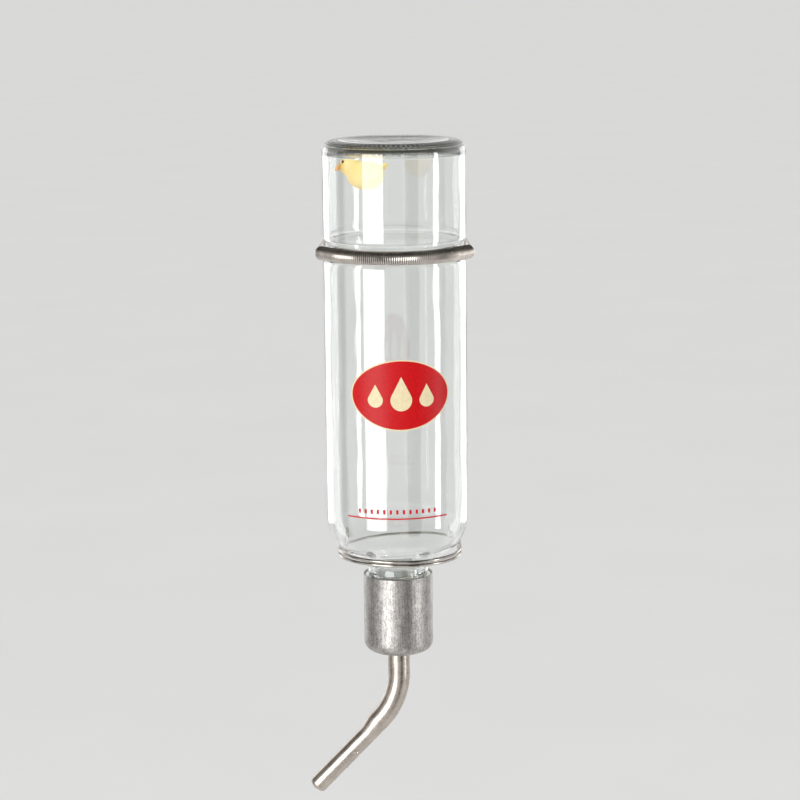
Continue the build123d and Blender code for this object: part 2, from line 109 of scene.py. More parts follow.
STIPPLE_ROW = 1.2 * MM
STIPPLE_REACH = 4.6 * MM
STIPPLE_DEPTH = 0.34 * MM
STIPPLE_INSET = 0.2 * MM
STIPPLE_SLANT = 0.7
# How far a point may be from a radius and still count as being on it.
SKIN_SLACK = 0.05 * MM
THREAD_SLACK = 0.001 * MM
# How finely the outline and its turn are divided.
GLASS_SEGMENTS = 4 * STIPPLE_COUNT
DISH_STEPS = 12
RING_STEPS = 6
HEEL_STEPS = 30
INNER_HEEL_STEPS = 14
GROOVE_STEPS = 8
SHOULDER_STEPS = 28
FILLET_STEPS = 8
THREAD_STEPS = 72
LIP_STEPS = 5
# Where the green tint and painted shade of the thick heel start and are full: below the base, and out
# from the axis.
HEEL_TINT_AND_SHADE_FULL_BELOW = 3.6 * MM
HEEL_TINT_AND_SHADE_NONE_BELOW = 5.2 * MM
HEEL_TINT_AND_SHADE_NONE_INSIDE = RING_INNER_R - 1.0 * MM
HEEL_TINT_AND_SHADE_FULL_OUTSIDE = RING_INNER_R + 1.5 * MM
GLASS_TINT = (0.975, 0.988, 0.978, 1)
# The heel's dark olive: the green of thick glass, darkened much further by painted shade for the dark
# band that refraction shows there.
HEEL_TINT_AND_SHADE = (0.24, 0.25, 0.17, 1)
SHADOW_TINT = (0.95, 0.97, 0.955, 1)

# ---- spring ----
COIL_WIRE = 0.8 * MM
DRAWN_WIRE_R = 0.46 * COIL_WIRE
BEND_END_ANGLE = radians(53)
# Distances along the spring from its middle: the wrap, the bend, the flexing length and the tail,
# whose last turns close in from TAPER_START.
WRAP_END = radians(45) * SPRING_PATH_R
BEND_END = BEND_END_ANGLE * SPRING_PATH_R
FLEX_END = BEND_END + 4.0 * MM
TAPER_START = FLEX_END + 5.8 * MM
TAIL_END = TAPER_START + 1.8 * MM
HOOK_WIRE_R = 0.5 * MM
STUB_BACK = (5 * MM, 3 * MM, 0)
TURN_STEPS = 20
WIRE_SIDES = 8
STUB_SIDES = 12

# ---- duck: each lump's place is counted from the middle of what it sits on ----
DUCK_VOXEL = 0.32 * MM
BODY_RISE = 6.3 * MM
BODY_SHARES = (0.97, 0.90, 0.96)
TAIL_ROOM = 2.2 * MM
BREAST_AT = mm(-2.6, 0, 1.4)
BREAST_HALF = mm(5.2, 5.6, 4.6)
HEAD_AT = mm(-6.0, 0, 3.9)
HEAD_R = 4.6 * MM
HEAD_SHARES = (1.0, 0.94, 0.97)
TAIL_AT = mm(6.2, 0, 2.6)
TAIL_HALF = mm(3.4, 2.6, 1.5)
TAIL_TILT_DEG = -38
WING_BACK = 1.6 * MM
WING_OUT = 0.80
WING_RISE = 0.6 * MM
WING_HALF = mm(4.3, 1.3, 2.6)
WING_TILT_DEG = -14
WING_TIP_AT = mm(3.2, 0, 1.2)
WING_TIP_HALF = mm(2.2, 0.9, 1.1)
WING_TIP_TILT_DEG = -26
UPPER_BILL_AT = mm(0.2, 0, 0.55)
UPPER_BILL_HALF = mm(2.6, 2.6, 0.7)
UPPER_BILL_TILT_DEG = -36
LOWER_BILL_AT = mm(0.2, 0, -0.55)
LOWER_BILL_HALF = mm(2.2, 2.1, 0.6)
LOWER_BILL_TILT_DEG = -22
EYE_R = 0.62 * MM
EYE_TALL = 1.25
EYE_OUT = 0.93
EYE_WAY = Vector((-0.66, 0.60, 0.42))

# ---- camera and light ----
CAMERA_TARGET_Z = 64.8 * MM
CAMERA_DISTANCE = 1.058
CAMERA_ELEVATION = radians(10.5)
CAMERA_ROLL = radians(-0.588)
CAMERA_SIDE = 1.5 * MM
CAMERA_LENS = 117.0
CAMERA_NEAR = 0.05
FLOOR_GAP = 0.60
FLOOR_SIZE = 160.0
PANEL_Z = 0.06
OVERHEAD_STRENGTH = 2.7
OVERHEAD_SPREAD_DEG = 40
SKY_DARK_FROM = 0.75
SKY_PALE = 0.95
SKY_DARK = (0.045, 0.045, 0.035, 1)


# ---------------------------------------------------------------- meshes


def added(name, data):
    """A new object in the scene that holds this data."""
    made = bpy.data.objects.new(name, data)
    bpy.context.scene.collection.objects.link(made)
    return made


def mesh_object(name, vertices, faces, material):
    """A smooth-shaded mesh object with outward normals. Its edges are sharp where they turn a lot."""
    mesh = bpy.data.meshes.new(name)
    mesh.from_pydata([tuple(v) for v in vertices], [], faces)
    shell = bmesh.new()
    shell.from_mesh(mesh)
    bmesh.ops.recalc_face_normals(shell, faces=shell.faces)
    shell.to_mesh(mesh)
    shell.free()
    mesh.shade_smooth()
    mesh.set_sharp_from_angle(angle=radians(SHARP_DEG))
    mesh.materials.append(material)
    return added(name, mesh)


def piece(made, body, slot, *nodes):
    """Put a new piece on the body it rides on, and hide the CAD nodes it stands for. slot, its
    finish, is not used.
    """
    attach(made, body)
    if nodes:
        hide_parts(*nodes)


def arc(center_r, center_z, radius, start_deg, end_deg, steps):
    """Points of an arc in a turned outline. 0 degrees is outward and 90 is up."""
    angles = [radians(start_deg + (end_deg - start_deg) * i / steps) for i in range(steps + 1)]
    return [(center_r + radius * cos(a), center_z + radius * sin(a)) for a in angles]


def run(start, end, steps):
    """Evenly spaced points from start towards end, without the end itself."""
    (r0, z0), (r1, z1) = start, end
    return [(r0 + (r1 - r0) * i / steps, z0 + (z1 - z0) * i / steps) for i in range(steps)]


def lathe(outline, segments, moved):
    """Vertices and faces of an outline turned about the bottle's axis, from pole to pole.

    moved(r, z, angle) gives a point's own r and z, because the surface isn't quite round.
    """
    vertices = []
    rings = []
    for r, z in outline:
        if r == 0:
            rings.append([len(vertices)] * segments)
            vertices.append(AXIS + Vector((0, 0, z)))
            continue
        rings.append(list(range(len(vertices), len(vertices) + segments)))
        for step in range(segments):
            angle = 2 * pi * step / segments
            new_r, new_z = moved(r, z, angle)
            vertices.append(AXIS + Vector((new_r * cos(angle), new_r * sin(angle), new_z)))
    faces = []
    for upper, lower in zip(rings, rings[1:]):
        for step in range(segments):
            after = (step + 1) % segments
            corners = [upper[step], upper[after], lower[after], lower[step]]
            faces.append(list(dict.fromkeys(corners)))
    return vertices, faces


def tube(points, spokes, radius, sides):
    """Vertices and faces of a round wire through points. spokes point from its axis to its side."""
    vertices = []
    faces = []
    for index, center in enumerate(points):
        ahead = points[min(index + 1, len(points) - 1)]
        behind = points[max(index - 1, 0)]
        along = (ahead - behind).normalized()
        side = (spokes[index] - along * spokes[index].dot(along)).normalized()
        across = along.cross(side)
        for step in range(sides):
            angle = 2 * pi * step / sides
            vertices.append(center + (side * cos(angle) + across * sin(angle)) * radius)
    for index in range(len(points) - 1):
        for step in range(sides):
            after = (step + 1) % sides
            here = index * sides
            faces.append([here + step, here + after, here + sides + after, here + sides + step])
    faces.append(list(range(sides)))
    faces.append(list(range(len(vertices) - sides, len(vertices))))
    return vertices, faces


def joined(shapes):
    """One list of vertices and one of faces from several."""
    vertices = []
    faces = []
    for more_vertices, more_faces in shapes:
        start = len(vertices)
        vertices += more_vertices
        faces += [[start + corner for corner in face] for face in more_faces]
    return vertices, faces


# ---------------------------------------------------------------- material nodes


def fill(tree, made, inputs):
    """Fill a node's inputs. Each gets a value, or the output socket that feeds it."""
    for key, value in inputs.items():
        if isinstance(value, bpy.types.NodeSocket):
            tree.links.new(value, made.inputs[key])
        else:
            made.inputs[key].default_value = value


def node(tree, kind, inputs, **settings):
    """Add a node with these inputs and settings."""
    made = tree.nodes.new(kind)
    for key, value in settings.items():
        setattr(made, key, value)
    fill(tree, made, inputs)
    return made


def new_material(name):
    """A material with one Principled shader. Returns it, its node tree and that shader."""
    made = bpy.data.materials.new(name)
    made.use_nodes = True
    return made, made.node_tree, made.node_tree.nodes["Principled BSDF"]


def vectors(tree, operation, first, second):
    """Two places or directions, combined part by part."""
    inputs = {0: first, 1: second}
    return node(tree, "ShaderNodeVectorMath", inputs, operation=operation).outputs[0]


def place_mm(tree, stretch=(1, 1, 1)):
    """The place on the object in millimetres, each way scaled by stretch."""
    place = node(tree, "ShaderNodeTexCoord", {}).outputs["Object"]
    scale = [1 / MM * share for share in stretch]
    return vectors(tree, "MULTIPLY", place, scale)


def noise(tree, place, per_mm, detail=3.0, roughness=0.55):
    """Soft noise from 0 to 1 with about this many blotches per millimetre."""
    inputs = {"Vector": place, "Scale": per_mm, "Detail": detail, "Roughness": roughness}
    return node(tree, "ShaderNodeTexNoise", inputs).outputs[0]


def remap(tree, value, low, high, to_low, to_high):
    """Stretch a value from low..high to to_low..to_high, and keep it inside them."""
    inputs = {0: value, 1: low, 2: high, 3: to_low, 4: to_high}
    return node(tree, "ShaderNodeMapRange", inputs).outputs[0]


def combined(tree, operation, first, *others):
    """Numbers added or multiplied, one after the other."""
    for value in others:
        first = node(tree, "ShaderNodeMath", {0: first, 1: value}, operation=operation).outputs[0]
    return first


def weighted(tree, *terms):
    """The sum of several numbers, each times its own weight."""
    return combined(tree, "ADD", *[combined(tree, "MULTIPLY", *term) for term in terms])


def mixed(tree, share, first, second):
    """A colour that goes from the first to the second as share goes from 0 to 1."""
    inputs = {0: share, 6: first, 7: second}
    return node(tree, "ShaderNodeMix", inputs, data_type="RGBA").outputs[2]


def grey(value, warm=0.0):
    """A grey, a little warm where warm is above 0."""
    return (value * (1 + warm), value, value * (1 - warm), 1)


def bump(tree, height, depth, strength):
    """A normal from a height of 0 to 1 that stands for this depth in metres."""
    inputs = {"Height": height, "Distance": depth, "Strength": strength}
    return node(tree, "ShaderNodeBump", inputs).outputs[0]


# ---------------------------------------------------------------- materials


def heel_tint_and_shade_share(tree, place):
    """Up to 1, in speckles, in the thick heel round the base, and 0 in the rest of the glass: where
    the green tint and painted shade go.
    """
    from_axis = vectors(tree, "SUBTRACT", place, AXIS / MM)
    level = vectors(tree, "MULTIPLY", from_axis, (1, 1, 0))
    radius = node(tree, "ShaderNodeVectorMath", {0: level}, operation="LENGTH").outputs["Value"]
    height = node(tree, "ShaderNodeSeparateXYZ", {0: place}).outputs["Z"]
    outer = remap(tree, radius, HEEL_TINT_AND_SHADE_NONE_INSIDE / MM, HEEL_TINT_AND_SHADE_FULL_OUTSIDE / MM, 0, 1)
    none_z = (BASE_Z - HEEL_TINT_AND_SHADE_NONE_BELOW) / MM
    full_z = (BASE_Z - HEEL_TINT_AND_SHADE_FULL_BELOW) / MM
    upper = remap(tree, height, none_z, full_z, 0, 1)
    speckle = remap(tree, noise(tree, place, 1.3), 0.38, 0.56, 1.0, 0.15)
    return combined(tree, "MULTIPLY", outer, upper, speckle)


def clear_glass():
    """Soda glass, a little smeared and rippled, its thick heel tinted green and darkened with painted
    shade. It is plain clear to the rays that make shadows.
    """
    made, tree, shader = new_material("clear_glass")
    place = place_mm(tree)
    smear = noise(tree, place, 0.06, 2.0)
    ripple = noise(tree, place_mm(tree, (1, 1, 0.35)), 0.10, 1.0)
    fill(tree, shader, {
        "Transmission Weight": 1.0,
        "IOR": 1.5,
        "Coat Weight": 1.0,
        "Coat IOR": 1.6,
        "Coat Roughness": 0.03,
        # Painted shade: the thick heel is coloured a dark olive, much darker than its green tint
        # alone.
        "Base Color": mixed(tree, heel_tint_and_shade_share(tree, place), GLASS_TINT, HEEL_TINT_AND_SHADE),
        "Roughness": remap(tree, smear, 0.35, 0.7, 0.0, 0.035),
        "Normal": bump(tree, ripple, 0.35 * MM, 0.8),
    })
    clear = node(tree, "ShaderNodeBsdfTransparent", {"Color": SHADOW_TINT})
    ray = node(tree, "ShaderNodeLightPath", {}).outputs["Is Shadow Ray"]
    mix = node(tree, "ShaderNodeMixShader", {0: ray, 1: shader.outputs[0], 2: clear.outputs[0]})
    fill(tree, tree.nodes["Material Output"], {"Surface": mix.outputs[0]})
    return made


def ink(name, color, fade):
    """Screen-printed ink: thin, slightly uneven, with a soft gloss."""
    made, tree, shader = new_material(name)
    place = place_mm(tree)
    cloud = noise(tree, place, 0.8, 4.0)
    grain = noise(tree, place, 9.0, 2.0)
    fill(tree, shader, {
        "Specular IOR Level": 0.2,
        "Base Color": mixed(tree, remap(tree, cloud, 0.35, 0.7, 0, 1), color, fade),
        "Roughness": remap(tree, grain, 0.3, 0.7, 0.28, 0.42),
        "Normal": bump(tree, grain, 0.01 * MM, 0.4),
    })
    return made


def drawn_steel():
    """Deep-drawn cap steel: mottled and pitted, with faint draw streaks."""
    made, tree, shader = new_material("drawn_steel")
    place = place_mm(tree)
    cloud = noise(tree, place, 0.35)
    mottle = noise(tree, place_mm(tree, (1, 1, 0.7)), 1.5, 5.0, 0.7)
    pits = remap(tree, noise(tree, place, 2.7), 0.34, 0.44, 1, 0)
    streaks = noise(tree, place_mm(tree, (1, 1, 0.05)), 1.7)
    tone = weighted(tree, (mottle, 0.5), (cloud, 0.2), (streaks, 0.3))
    bright = remap(tree, tone, 0.36, 0.62, 0, 1)
    base = mixed(tree, bright, grey(0.16, 0.06), grey(0.58, 0.04))
    height = weighted(tree, (mottle, 1.0), (streaks, 0.8), (pits, -0.6))
    fill(tree, shader, {
        "Metallic": 1.0,
        "Base Color": mixed(tree, weighted(tree, (pits, 0.75)), base, grey(0.05, 0.06)),
        "Roughness": remap(tree, mottle, 0.3, 0.7, 0.44, 0.28),
        "Normal": bump(tree, height, 0.05 * MM, 0.6),
    })
    return made


def satin_steel(name, tone, rough, stretch=(1, 1, 0.06), warm=0.08):
    """Stainless steel with a satin finish: fine scratches, soft clouding and small marks."""
    made, tree, shader = new_material(name)
    place = place_mm(tree)
    cloud = noise(tree, place, 0.25, 4.0)
    scratches = noise(tree, place_mm(tree, stretch), 6.0, 4.0, 0.7)
    marks = remap(tree, noise(tree, place, 1.1, 2.0), 0.24, 0.30, 1, 0)
    bright = remap(tree, cloud, 0.35, 0.65, 0, 1)
    base = mixed(tree, bright, grey(tone * 0.86, warm), grey(tone * 1.06, warm))
    fill(tree, shader, {
        "Metallic": 1.0,
        "Base Color": mixed(tree, weighted(tree, (marks, 0.5)), base, grey(0.14, 0.08)),
        "Roughness": combined(tree, "ADD", remap(tree, cloud, 0.3, 0.7, -0.04, 0.05), rough),
        "Normal": bump(tree, scratches, 0.008 * MM, 0.7),
    })
    return made


def rubber():
    """Dull black rubber with a moulded grain."""
    made, tree, shader = new_material("black_rubber")
    grain = noise(tree, place_mm(tree), 4.0, 4.0)
    fill(tree, shader, {
        "Base Color": mixed(tree, grain, grey(0.012), grey(0.045)),
        "Roughness": remap(tree, grain, 0.3, 0.7, 0.55, 0.75),
        "Normal": bump(tree, grain, 0.03 * MM, 0.6),
    })
    return made


def liner_plastic():
    """Milky moulded polypropylene with flow lines."""
    made, tree, shader = new_material("liner_plastic")
    flow = noise(tree, place_mm(tree, (1, 1, 0.3)), 0.5)
    fill(tree, shader, {
        "Subsurface Weight": 0.25,
        "Subsurface Scale": 1.0 * MM,
        "Base Color": mixed(tree, flow, (0.70, 0.70, 0.66, 1), (0.84, 0.84, 0.81, 1)),
        "Roughness": remap(tree, flow, 0.3, 0.7, 0.34, 0.48),
        "Normal": bump(tree, flow, 0.03 * MM, 0.3),
    })
    return made


def duck_plastic(name, color, shade):
    """Soft shiny moulded plastic, paler on some patches than on others."""
    made, tree, shader = new_material(name)
    place = place_mm(tree)
    cloud = noise(tree, place, 0.2)
    grain = noise(tree, place, 3.0, 2.0)
    fill(tree, shader, {
        "Subsurface Weight": 0.2,
        "Subsurface Scale": 1.0 * MM,
        "Base Color": mixed(tree, remap(tree, cloud, 0.3, 0.7, 0, 1), color, shade),
        "Roughness": remap(tree, grain, 0.3, 0.7, 0.25, 0.38),
        "Normal": bump(tree, grain, 0.02 * MM, 0.4),
    })
    return made


def floor_paint():
    """Plain pale floor with the faintest unevenness."""
    made, tree, shader = new_material("pale_floor")
    cloud = noise(tree, place_mm(tree), 0.004, 2.0)
    fill(tree, shader, {
        "Base Color": mixed(tree, cloud, grey(0.66), grey(0.69)),
        "Roughness": 0.7,
    })
    return made


GLASS = clear_glass()
RED_INK = ink("red_ink", (0.50, 0.004, 0.007, 1), (0.58, 0.007, 0.010, 1))
CREAM_INK = ink("cream_ink", (0.74, 0.62, 0.38, 1), (0.80, 0.70, 0.46, 1))
CAP_STEEL = drawn_steel()
TUBE_STEEL = satin_steel("tube_steel", 0.43, 0.27, warm=0.12)
BALL_STEEL = satin_steel("ball_steel", 0.72, 0.10, (1, 1, 1))
SPRING_STEEL = satin_steel("spring_steel", 0.54, 0.22, (1, 1, 1))
WIRE_STEEL = satin_steel("wire_steel", 0.48, 0.18, (1, 1, 1))
RUBBER = rubber()
LINER = liner_plastic()
DUCK_YELLOW = duck_plastic("duck_yellow", (0.90, 0.63, 0.17, 1), (0.93, 0.71, 0.29, 1))
DUCK_ORANGE = duck_plastic("duck_orange", (0.80, 0.36, 0.08, 1), (0.84, 0.46, 0.15, 1))
EYE_BLACK = duck_plastic("eye_black", grey(0.01), grey(0.02))


# ---------------------------------------------------------------- glass bottle


def groove_arcs(wall_r, lip_r, bed_r):
    """The spring groove in a wall of this radius, from top to bottom: lip, bed and lip."""
    across = lip_r + bed_r
    half_height = sqrt(across**2 - (across - GROOVE_DEPTH) ** 2)
    swing = degrees(atan2(half_height, across - GROOVE_DEPTH))
    bed_center = wall_r - GROOVE_DEPTH + bed_r
    return (
        arc(wall_r - lip_r, GROOVE_Z + half_height, lip_r, 0, -swing, GROOVE_STEPS)
        + arc(bed_center, GROOVE_Z, bed_r, 180 - swing, 180 + swing, 2 * GROOVE_STEPS)[1:]
        + arc(wall_r - lip_r, GROOVE_Z - half_height, lip_r, swing, 0, GROOVE_STEPS)[1:]
    )


def shoulder_arcs(shoulder_r, neck_r, fillet_r):
    """The round shoulder and the hollow fillet into the neck, from top to bottom."""
    center_r = BOTTLE_R - SHOULDER_R
    reach = shoulder_r + fillet_r
    offset = neck_r + fillet_r - center_r
    drop = sqrt(reach**2 - offset**2)
    turn = degrees(atan2(drop, offset))
    return (
        arc(center_r, SHOULDER_Z, shoulder_r, 0, -turn, SHOULDER_STEPS)
        + arc(neck_r + fillet_r, SHOULDER_Z - drop, fillet_r, 180 - turn, 180, FILLET_STEPS)[1:]
    )


def dished(radius, edge_z, depth):
    """A shallow dish from its middle out to, but without, its edge."""
    shares = [step / DISH_STEPS for step in range(DISH_STEPS)]
    return [(radius * share, edge_z - depth * (1 - share**2)) for share in shares]


def outer_outline():
    """The outside of the glass, from the middle of the base down to the mouth."""
    dish = dished(RING_INNER_R, BASE_Z, BASE_DISH)
    ring = run((RING_INNER_R, BASE_Z), (RING_OUTER_R, BASE_Z), RING_STEPS)
    points = dish + ring + arc(RING_OUTER_R, HEEL_Z, HEEL_R, 90, 0, HEEL_STEPS)
    points.append((BOTTLE_R, HEEL_Z - WALL))
    points += groove_arcs(BOTTLE_R, GROOVE_LIP_R, GROOVE_BED_R)
    points += shoulder_arcs(SHOULDER_R, NECK_R, NECK_FILLET_R)
    points.append((NECK_R, COLLAR_Z))
    thread_top = (THREAD_ROOT_R, COLLAR_Z - (NECK_R - THREAD_ROOT_R))
    lip_z = MOUTH_Z + MOUTH_LIP_R
    points += run(thread_top, (THREAD_ROOT_R, lip_z), THREAD_STEPS)
    points += arc(THREAD_ROOT_R - MOUTH_LIP_R, lip_z, MOUTH_LIP_R, 0, -90, LIP_STEPS)
    return points


def inner_outline():
    """The inside of the glass, from the mouth up to the middle of the base."""
    inner_r = BOTTLE_R - WALL
    floor_z = BASE_Z - RING_THICKNESS
    floor_r = inner_r - INNER_HEEL_R
    heel_end_z = floor_z - INNER_HEEL_R - WALL
    points = dished(floor_r, floor_z, INNER_DOME)
    points += arc(floor_r, floor_z - INNER_HEEL_R, INNER_HEEL_R, 90, 0, INNER_HEEL_STEPS)
    points.append((inner_r, heel_end_z))
    points += groove_arcs(inner_r, GROOVE_LIP_R + WALL, GROOVE_BED_R - WALL)
    points += shoulder_arcs(SHOULDER_R - WALL, NECK_BORE_R, NECK_FILLET_R + WALL)
    points.append((NECK_BORE_R, MOUTH_Z))
    return points[::-1]


def thread_rise(angle, z):
    """How far the screw ridge stands out of the neck here."""
    turn = angle / (2 * pi)
    turn += round((z - THREAD_START_Z) / THREAD_PITCH - turn)
    turn = min(max(turn, 0), THREAD_TURNS)
    away = abs(z - THREAD_START_Z - turn * THREAD_PITCH)
    share = (THREAD_ROOT_HALF - away) / (THREAD_ROOT_HALF - THREAD_CREST_HALF)
    return (THREAD_CREST_R - THREAD_ROOT_R) * min(max(share, 0), 1)


def stipple(r, z, angle):
    """How deep the glass is dented here, between the small bumps on the edge of the base."""
    out = max(r - RING_OUTER_R, 0)
    on_outer_skin = z > HEEL_Z and hypot(out, z - HEEL_Z) >= HEEL_R - SKIN_SLACK
    if not on_outer_skin or r < RING_INNER_R + STIPPLE_INSET:
        return 0
    down = HEEL_R * atan2(out, z - HEEL_Z)
    row = (RING_OUTER_R - min(r, RING_OUTER_R) + down) / STIPPLE_ROW
    bump_here = (0.5 + 0.5 * cos(STIPPLE_COUNT * angle + pi * floor(row))) * sin(pi * row) ** 2
    fade = min(max((STIPPLE_REACH - down) / STIPPLE_ROW, 0), 1)
    return STIPPLE_DEPTH * fade * (1 - bump_here)


def glass_surface(r, z, angle):
    """The glass isn't quite round at the screw ridge and at the stippled edge of the base."""
    if abs(r - THREAD_ROOT_R) < THREAD_SLACK and z < COLLAR_Z:
        return r + thread_rise(angle, z), z
    dent = STIPPLE_SLANT * stipple(r, z, angle)
    return r - dent, z - dent


def glass_bottle():
    """The whole bottle as one closed skin of glass."""
    outline = outer_outline() + inner_outline()
    made = mesh_object("bottle_glass", *lathe(outline, GLASS_SEGMENTS, glass_surface), GLASS)
    piece(made, "bottle", "clear_glass", "glass_bottle")


# ---------------------------------------------------------------- spring


def spring_frame(distance):
    """Center and outward direction at this distance along the spring from its middle."""
    turn = min(max(distance / SPRING_PATH_R, -BEND_END_ANGLE), BEND_END_ANGLE)
    outward = Vector((sin(turn), -cos(turn), 0))
    forward = Vector((cos(turn), sin(turn), 0))
    straight = distance - turn * SPRING_PATH_R
    center = AXIS + outward * SPRING_PATH_R + forward * straight + UP * SPRING_Z
    return center, outward


def coil(start, end):
    """The wire's turns between two distances along the spring. The tail's last turns close in."""
    turn_r = COIL_R - COIL_WIRE / 2
    closed_r = HOOK_WIRE_R + COIL_WIRE / 2
    steps = round((end - start) / COIL_WIRE * TURN_STEPS)
    points = []
    spokes = []
    for step in range(steps + 1):
        distance = start + (end - start) * step / steps
        angle = 2 * pi * distance / COIL_WIRE
        center, outward = spring_frame(distance)
        spoke = outward * cos(angle) + UP * sin(angle)
        closing = min(max((abs(distance) - TAPER_START) / (TAIL_END - TAPER_START), 0), 1)
        points.append(center + spoke * (turn_r + (closed_r - turn_r) * closing))
        spokes.append(spoke)
    return tube(points, spokes, DRAWN_WIRE_R, WIRE_SIDES)


def hook_stub(side):
    """The end of the hook's wire that the coil's closed turns grip."""
    points = [spring_frame(side * (TAIL_END - back))[0] for back in STUB_BACK]
    return tube(points, [UP] * len(points), HOOK_WIRE_R, STUB_SIDES)


def spring():
    """The close-wound coil: round the bottle, through the two bends and along the two tails."""
    made = mesh_object("spring_coil_wrap", *coil(-WRAP_END, WRAP_END), SPRING_STEEL)
    piece(made, "spring", "spring_steel", "spring_wrap")
    for side, name in ((1, "right"), (-1, "left")):
        span = sorted((side * WRAP_END, side * FLEX_END))
        made = mesh_object(f"spring_coil_flex_{name}", *coil(*span), SPRING_STEEL)
        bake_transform(made)
        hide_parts(f"spring_flex_{name}")
        span = sorted((side * FLEX_END, side * TAIL_END))
        shape = joined([coil(*span), hook_stub(side)])
        made = mesh_object(f"spring_coil_tail_{name}", *shape, SPRING_STEEL)
        piece(made, f"{name}_hook", "spring_steel", f"spring_tail_{name}")


# ---------------------------------------------------------------- duck


def ball(center, half, tilt_deg=0):
    """A stretched ball as vertices and faces, tipped about the Y axis."""
    shape = bmesh.new()
    turn = Matrix.Rotation(radians(tilt_deg), 4, "Y")
    matrix = Matrix.Translation(center) @ turn @ Matrix.Diagonal((*half, 1))
    bmesh.ops.create_icosphere(shape, subdivisions=4, radius=1, matrix=matrix)
    shape.verts.index_update()
    vertices = [v.co.copy() for v in shape.verts]
    faces = [[v.index for v in face.verts] for face in shape.faces]
    shape.free()
    return vertices, faces


def melted(name, shapes, material, voxel, smooth_steps):
    """Several shapes run together into one smooth skin."""
    made = mesh_object(name, *joined(shapes), material)
    remesh = made.modifiers.new("remesh", "REMESH")
    remesh.mode = "VOXEL"
    remesh.voxel_size = voxel
    remesh.use_smooth_shade = True
    smooth = made.modifiers.new("smooth", "SMOOTH")
    smooth.factor = 0.5
    smooth.iterations = smooth_steps
    evaluated = made.evaluated_get(bpy.context.evaluated_depsgraph_get())
    mesh = bpy.data.meshes.new_from_object(evaluated)
    made.modifiers.clear()
    made.data = mesh
    mesh.name = name
    return made


def duck_body(center, radius):
    """Body, breast, head, tail and the two wings as one skin. The duck faces -X."""
    body_half = [full * share for full, share in zip((radius, radius, BODY_RISE), BODY_SHARES)]
    head_half = [HEAD_R * share for share in HEAD_SHARES]
    shapes = [
        ball(center, body_half),
        ball(center + BREAST_AT, BREAST_HALF),
        ball(center + HEAD_AT, head_half),
        ball(center + TAIL_AT, TAIL_HALF, TAIL_TILT_DEG),
    ]
    for side in (-1, 1):
        wing = center + Vector((WING_BACK, side * radius * WING_OUT, WING_RISE))
        shapes.append(ball(wing, WING_HALF, WING_TILT_DEG))
        shapes.append(ball(wing + WING_TIP_AT, WING_TIP_HALF, WING_TIP_TILT_DEG))
    made = melted("duck_float", shapes, DUCK_YELLOW, DUCK_VOXEL, smooth_steps=5)
    piece(made, "duck", "duck_yellow", "duck_body")


def duck_bill():
    """The bill's two halves, slightly open, where the CAD's beak is."""
    middle = (BEAK_LOW + BEAK_HIGH) / 2
    halves = [
        ball(middle + UPPER_BILL_AT, UPPER_BILL_HALF, UPPER_BILL_TILT_DEG),
        ball(middle + LOWER_BILL_AT, LOWER_BILL_HALF, LOWER_BILL_TILT_DEG),
    ]
    made = melted("duck_bill", halves, DUCK_ORANGE, 0.5 * DUCK_VOXEL, smooth_steps=4)
    piece(made, "duck", "duck_orange", "duck_beak")


def duck_eyes(head):
    """Two small dark eyes, sunk more than halfway into the head."""
    eyes = []
    for side in (-1, 1):
        gaze = Vector((EYE_WAY.x, side * EYE_WAY.y, EYE_WAY.z)).normalized()
        eyes.append(ball(head + gaze * HEAD_R * EYE_OUT, (EYE_R, EYE_R, EYE_R * EYE_TALL)))
    made = mesh_object("duck_eyes", *joined(eyes), EYE_BLACK)
    piece(made, "duck", "duck_orange")


def duck():
    """The float: a small plain bath duck."""
    radius = (BODY_HIGH.y - BODY_LOW.y) / 2
    middle_y = (BODY_LOW.y + BODY_HIGH.y) / 2
    center = Vector((BODY_HIGH.x - TAIL_ROOM - radius, middle_y, BODY_LOW.z + BODY_RISE))
    duck_body(center, radius)
    duck_bill()
    duck_eyes(center + HEAD_AT)


# ---------------------------------------------------------------- kept CAD pieces

CAD_FINISHES = {
    "badge_field_print": RED_INK,
    "badge_cream_print": CREAM_INK,
    "fill_line_print": RED_INK,
    "neck_gasket": RUBBER,
    "cap_shell": CAP_STEEL,
    "cap_thread_insert": LINER,
    "tube_bush": RUBBER,
    "sipper_tube": TUBE_STEEL,
    "tip_ball": BALL_STEEL,
    "upper_ball": BALL_STEEL,
    "spring_hook_right": SPRING_STEEL,
    "spring_hook_left": SPRING_STEEL,
    "ring_hanger": WIRE_STEEL,
}


def finish_cad_nodes():
    """Give each CAD piece that stays its detailed material."""
    for name, material in CAD_FINISHES.items():
        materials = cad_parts[name].data.materials
        materials.clear()
        materials.append(material)


# ---------------------------------------------------------------- camera, floor and light


def camera():
    """The camera, a little above the bottle and in front of it."""
    made = added("camera", bpy.data.cameras.new("camera"))
    made.data.lens = CAMERA_LENS
    made.data.clip_start = CAMERA_NEAR
    made.data.clip_end = 2 * FLOOR_SIZE
    back = Vector((0, -cos(CAMERA_ELEVATION), sin(CAMERA_ELEVATION)))
    target = AXIS + Vector((CAMERA_SIDE, 0, CAMERA_TARGET_Z))
    turn = (-back).to_track_quat("-Z", "Y").to_matrix().to_4x4()
    roll = Matrix.Rotation(CAMERA_ROLL, 4, "Z")
    made.matrix_world = Matrix.Translation(target + back * CAMERA_DISTANCE) @ turn @ roll
    bpy.context.scene.camera = made


def studio_floor():
    """A wide pale floor, well below the hanging bottle."""
    half = FLOOR_SIZE / 2
    z = TIP_Z - FLOOR_GAP
    corners = [(-half, -half, z), (half, -half, z), (half, half, z), (-half, half, z)]
    made = mesh_object("floor", corners, [[0, 1, 2, 3]], floor_paint())


def around(azimuth_deg, distance, height_z):
    """A place round the bottle. Azimuth 0 is the camera's side, and 90 is +X."""
    angle = radians(azimuth_deg)
    return AXIS + Vector((sin(angle) * distance, -cos(angle) * distance, height_z))


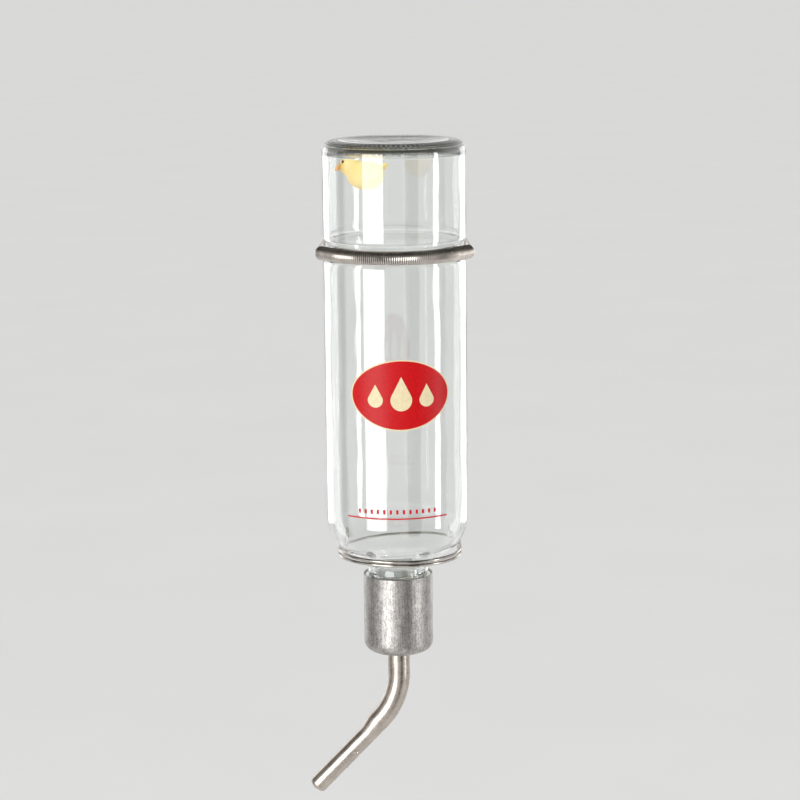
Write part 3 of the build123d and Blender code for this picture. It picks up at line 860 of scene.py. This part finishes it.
def soft_box(name, azimuth_deg, distance, width, height, radiance):
    """An upright panel light that faces the bottle."""
    data = bpy.data.lights.new(name, "AREA")
    data.shape = "RECTANGLE"
    data.size = width
    data.size_y = height
    data.energy = radiance * pi * width * height
    made = added(name, data)
    made.location = around(azimuth_deg, distance, PANEL_Z)
    aim = AXIS + Vector((0, 0, PANEL_Z)) - made.location
    made.rotation_mode = "QUATERNION"
    made.rotation_quaternion = aim.to_track_quat("-Z", "Y")
    made.visible_camera = False
    return made


def black_flag(name, azimuth_deg, distance, width, height):
    """An upright black card beside the view, which gives metal and glass something dark to mirror."""
    middle = around(azimuth_deg, distance, 0)
    angle = radians(azimuth_deg)
    across = Vector((cos(angle), sin(angle), 0)) * width / 2
    up = UP * height / 2
    corners = [middle - across - up, middle + across - up, middle + across + up, middle - across + up]
    made = mesh_object(name, corners, [[0, 1, 2, 3]], RUBBER)
    made.visible_camera = False


def overhead_light():
    """Even light from above for the floor. Metal and glass don't mirror it."""
    data = bpy.data.lights.new("overhead", "SUN")
    data.energy = OVERHEAD_STRENGTH
    data.angle = radians(OVERHEAD_SPREAD_DEG)
    made = added("overhead", data)
    made.visible_glossy = False
    made.visible_transmission = False


def lights():
    """A soft box on the left, a strip on the right, two panels behind, two black cards and a sun."""
    key = soft_box("key_box", azimuth_deg=-34, distance=1.3, width=0.80, height=1.0, radiance=4.6)
    key.visible_transmission = False
    soft_box("strip", azimuth_deg=70, distance=1.3, width=0.17, height=1.0, radiance=6.5)
    soft_box("rim_left", azimuth_deg=-142, distance=1.4, width=0.6, height=0.9, radiance=1.3)
    soft_box("rim_right", azimuth_deg=142, distance=1.4, width=0.6, height=0.9, radiance=1.3)
    black_flag("flag_left", azimuth_deg=-94, distance=0.8, width=0.20, height=1.0)
    black_flag("flag_right", azimuth_deg=28, distance=0.8, width=0.30, height=1.0)
    overhead_light()


def sky():
    """Pale round the horizon and dark overhead, so that metal and glass have something to show."""
    world = bpy.data.worlds.new("studio")
    bpy.context.scene.world = world
    world.use_nodes = True
    tree = world.node_tree
    direction = node(tree, "ShaderNodeTexCoord", {}).outputs["Generated"]
    rise = node(tree, "ShaderNodeSeparateXYZ", {0: direction}).outputs["Z"]
    height = remap(tree, rise, 0.0, SKY_DARK_FROM, 0, 1)
    color = mixed(tree, height, grey(SKY_PALE), SKY_DARK)
    fill(tree, tree.nodes["Background"], {"Color": color, "Strength": 1.0})


glass_bottle()
spring()
duck()
finish_cad_nodes()
camera()
studio_floor()
lights()
sky()
bpy.context.scene.view_settings.view_transform = "Standard"
